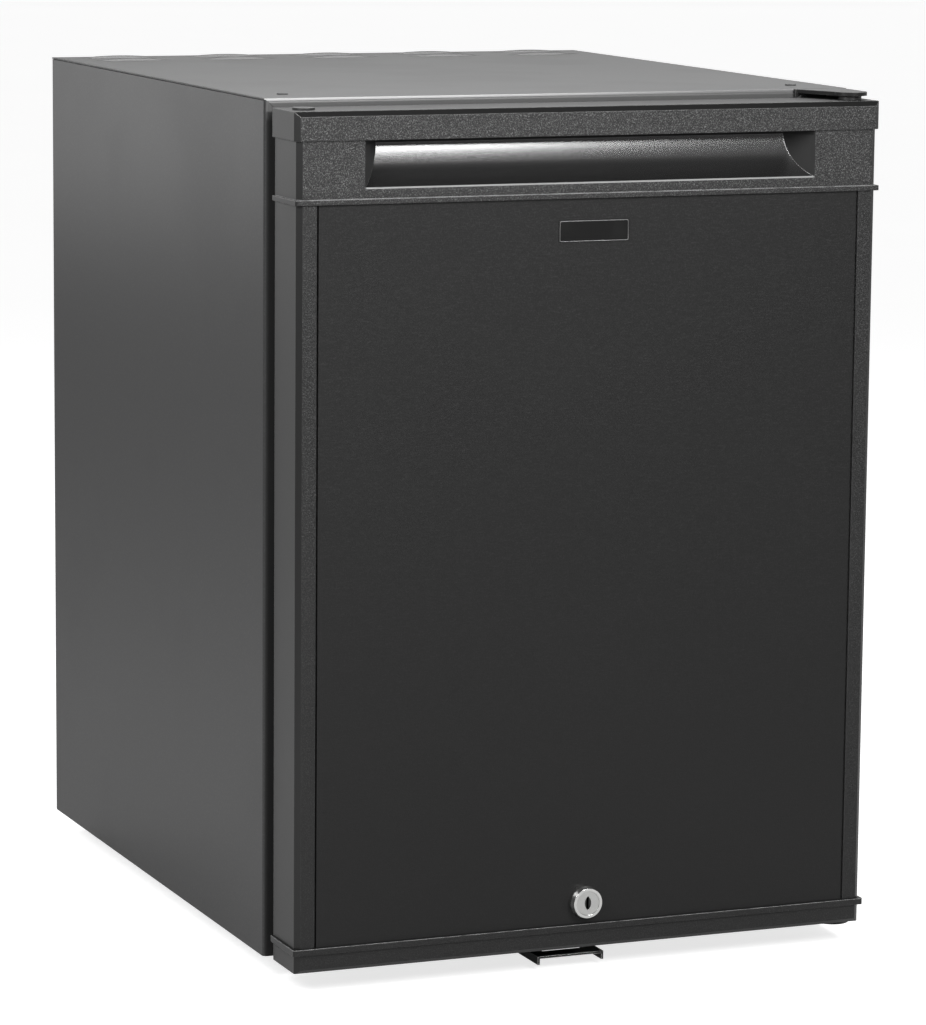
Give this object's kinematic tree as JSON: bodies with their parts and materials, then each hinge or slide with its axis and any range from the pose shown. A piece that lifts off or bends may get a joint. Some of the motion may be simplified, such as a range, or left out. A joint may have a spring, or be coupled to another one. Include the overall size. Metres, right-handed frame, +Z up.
{
  "type": "minibar refrigerator",
  "caption": "Compact black minibar refrigerator with a right-hinged framed door, recessed top handle, key lock near the door's foot, and an absorption cooling unit on its open back.",
  "frame": {"origin": "floor under the middle of the whole box, at the height of the feet's undersides", "axes": "+Z up, +X to the right of someone facing the door, +Y from the door towards the back"},
  "size_m": [0.402, 0.5056, 0.5616],
  "materials": {
    "cabinet_paint": "satin",
    "zinc_sheet": "satin",
    "liner_white": "semi-gloss",
    "foam": "matte",
    "steel_screw": "bright",
    "rubber_foot": "matte",
    "hinge_black": "semi-gloss",
    "bright_steel": "bright",
    "shelf_wire": "gloss",
    "fin_aluminium": "satin",
    "unit_black": "matte",
    "jacket_tin": "satin",
    "box_grey": "matte",
    "lamp_clear": "frosted",
    "housing_white": "matte",
    "knob_grey": "satin",
    "trim_black": "grained",
    "panel_black": "fine grained",
    "badge_black": "gloss",
    "door_liner": "semi-gloss",
    "gasket_black": "matte",
    "magnet": "matte",
    "nylon": "satin",
    "lock_chrome": "polished",
    "bin_clear": "translucent"
  },
  "bodies": {
    "cabinet": {"top_panel": "cabinet_paint", "left_side_panel": "cabinet_paint", "right_side_panel": "cabinet_paint", "base_panel": "zinc_sheet", "rear_panel": "zinc_sheet", "inner_liner": "liner_white", "cabinet_foam": "foam", "top_screws": "hinge_black", "feet": "rubber_foot", "upper_hinge_bracket": "hinge_black", "lower_hinge_bracket": "hinge_black", "hinge_pins": "bright_steel", "hinge_screws": "steel_screw", "lock_keeper": "hinge_black", "keeper_screws": "steel_screw", "evaporator_fins": "fin_aluminium", "evaporator_screws": "steel_screw", "evaporator_plug": "foam", "evaporator_tube": "unit_black", "condenser_tube": "unit_black", "condenser_fins": "fin_aluminium", "boiler_jacket": "jacket_tin", "heater_cartridge": "bright_steel", "absorber_coil": "unit_black", "absorber_vessel": "unit_black", "solution_pipe": "unit_black", "unit_brackets": "box_grey", "control_box": "box_grey", "control_box_lid": "box_grey", "power_inlet": "badge_black", "inlet_pins": "bright_steel", "control_housing": "housing_white", "lamp_lens": "lamp_clear", "lower_shelf": "shelf_wire", "upper_shelf": "shelf_wire"},
    "door": {"door_top_cap": "trim_black", "door_handle_rail": "trim_black", "door_left_stile": "trim_black", "door_right_stile": "trim_black", "door_bottom_rail": "trim_black", "door_panel": "panel_black", "badge_plate": "badge_black", "door_foam": "foam", "door_inner_liner": "door_liner", "door_gasket": "gasket_black", "gasket_magnets": "magnet", "hinge_bushes": "nylon", "hinge_hole_plug": "nylon", "lock_body": "lock_chrome", "lock_nut": "bright_steel", "lock_pocket": "box_grey"},
    "lock_core": {"lock_plug": "lock_chrome", "lock_cam": "bright_steel", "cam_screw": "steel_screw"},
    "knob": {"thermostat_knob": "knob_grey"},
    "bin_low": {"lower_bin": "bin_clear"},
    "bin_high": {"upper_bin": "bin_clear"}
  },
  "joints": [
    {"name": "door_hinge", "type": "hinge", "parent": "cabinet", "child": "door", "pos_m": [0.187, -0.22825, 0.285], "axis": [0, 0, 1], "range_deg": [0, 120]},
    {"name": "lock_turn", "type": "hinge", "parent": "door", "child": "lock_core", "pos_m": [0, -0.24, 0.0455], "axis": [0, -1, 0], "range_deg": [0, 90]},
    {"name": "thermostat_turn", "type": "hinge", "parent": "cabinet", "child": "knob", "pos_m": [0.14, -0.06429, 0.478], "axis": [1, 0, 0], "range_deg": [0, 270]},
    {"name": "lower_bin_lift", "type": "slide", "parent": "door", "child": "bin_low", "axis": [0, 0, 1], "range_m": [0, 0.012]},
    {"name": "upper_bin_lift", "type": "slide", "parent": "door", "child": "bin_high", "axis": [0, 0, 1], "range_m": [0, 0.012]}
  ]
}
